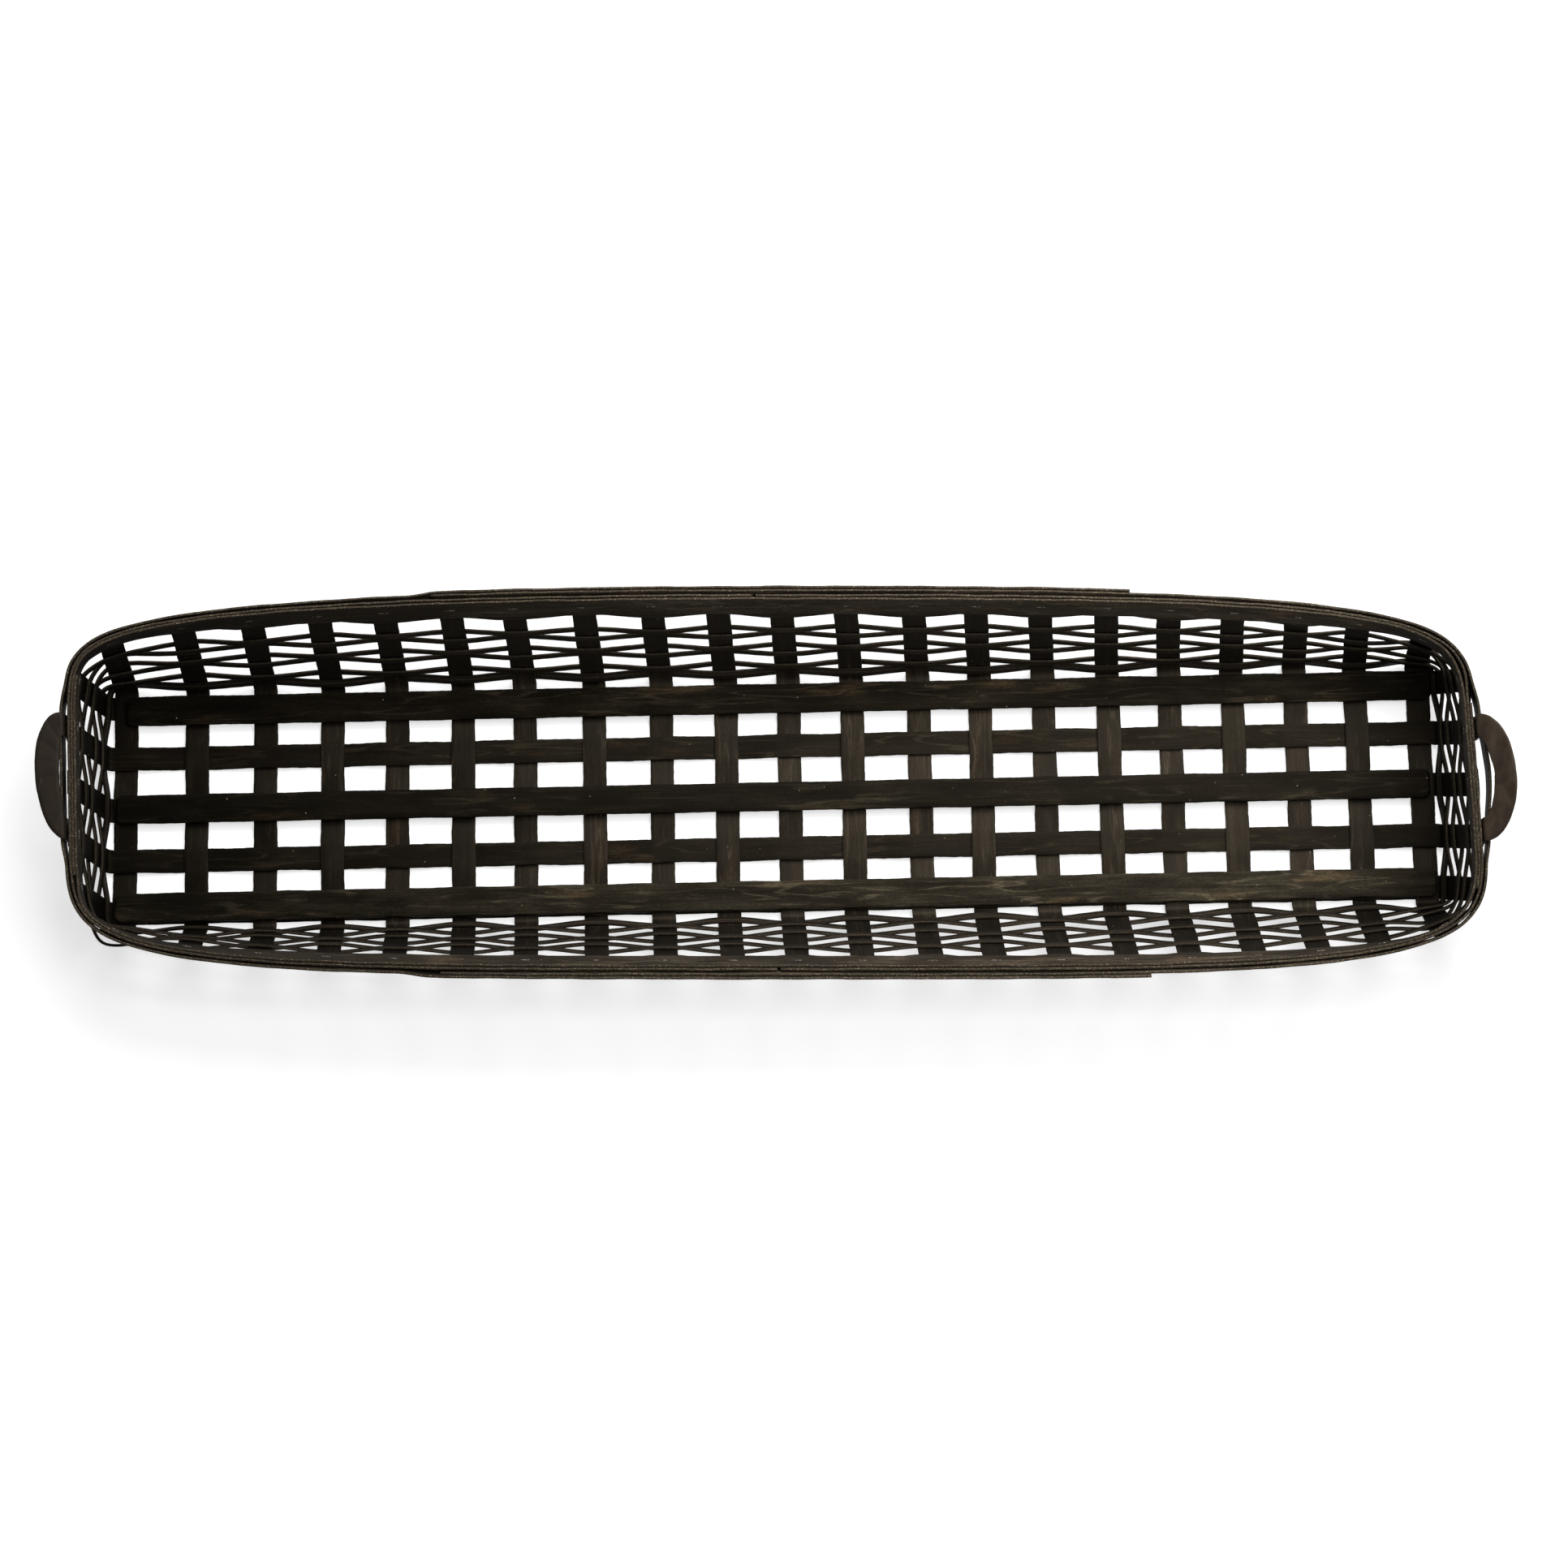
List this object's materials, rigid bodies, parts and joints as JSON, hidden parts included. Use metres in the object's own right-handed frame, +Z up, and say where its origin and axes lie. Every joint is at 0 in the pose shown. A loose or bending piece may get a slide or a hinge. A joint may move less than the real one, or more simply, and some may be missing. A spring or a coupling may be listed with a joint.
{
  "type": "woven splint centerpiece basket",
  "caption": "Long, narrow open-weave splint basket with flared sides, a layered rim band and a hinged leather ear handle at each end.",
  "frame": {"origin": "on the surface that the basket stands on, under its middle", "axes": "+X along the basket's length, +Y across it, +Z up"},
  "size_m": [0.7679, 0.2082, 0.0689],
  "materials": {
    "stained_splint": "matt dark stain over fine straight grain",
    "stained_slat": "matt dark stain with faint brown streaks",
    "stained_weaver": "matt dark stain",
    "stained_band": "matt dark stain, tan wood fibres showing along the cut edge",
    "dark_leather": "smooth satin leather"
  },
  "bodies": {
    "basket": {"crosswise_splint_01": "stained_splint", "crosswise_splint_02": "stained_splint", "crosswise_splint_03": "stained_splint", "crosswise_splint_04": "stained_splint", "crosswise_splint_05": "stained_splint", "crosswise_splint_06": "stained_splint", "crosswise_splint_07": "stained_splint", "crosswise_splint_08": "stained_splint", "crosswise_splint_09": "stained_splint", "crosswise_splint_10": "stained_splint", "crosswise_splint_11": "stained_splint", "crosswise_splint_12": "stained_splint", "crosswise_splint_13": "stained_splint", "crosswise_splint_14": "stained_splint", "crosswise_splint_15": "stained_splint", "crosswise_splint_16": "stained_splint", "crosswise_splint_17": "stained_splint", "crosswise_splint_18": "stained_splint", "crosswise_splint_19": "stained_splint", "crosswise_splint_20": "stained_splint", "crosswise_splint_21": "stained_splint", "lengthwise_splint_1": "stained_splint", "lengthwise_splint_2": "stained_splint", "lengthwise_splint_3": "stained_splint", "lengthwise_splint_4": "stained_splint", "lengthwise_splint_5": "stained_splint", "base_slat_far": "stained_slat", "base_slat_middle": "stained_slat", "base_slat_near": "stained_slat", "weaver_1": "stained_weaver", "weaver_2": "stained_weaver", "weaver_3": "stained_weaver", "weaver_4": "stained_weaver", "weaver_5": "stained_weaver", "weaver_6": "stained_weaver", "weaver_7": "stained_weaver", "inner_rim_band": "stained_band", "liner_band_left": "stained_band", "liner_band_far_right": "stained_band", "liner_band_near_right": "stained_band", "outer_rim_band_left": "stained_band", "outer_rim_band_right": "stained_band", "strap_end_left_far": "dark_leather", "strap_end_left_near": "dark_leather", "strap_end_right_far": "dark_leather", "strap_end_right_near": "dark_leather"},
    "handle_left": {"handle_strap_left": "dark_leather"},
    "handle_right": {"handle_strap_right": "dark_leather"}
  },
  "joints": [
    {"name": "handle_left_hinge", "type": "hinge", "parent": "basket", "child": "handle_left", "pos_m": [-0.36708, 0.00391, 0.0552], "axis": [-0.0454, 0.999, 0], "range_deg": [-6, 80], "stiffness_Nm_per_rad": 0.03},
    {"name": "handle_right_hinge", "type": "hinge", "parent": "basket", "child": "handle_right", "pos_m": [0.36902, 0.00409, 0.0552], "axis": [0.0454, -0.999, 0], "range_deg": [-36, 50], "stiffness_Nm_per_rad": 0.03}
  ]
}
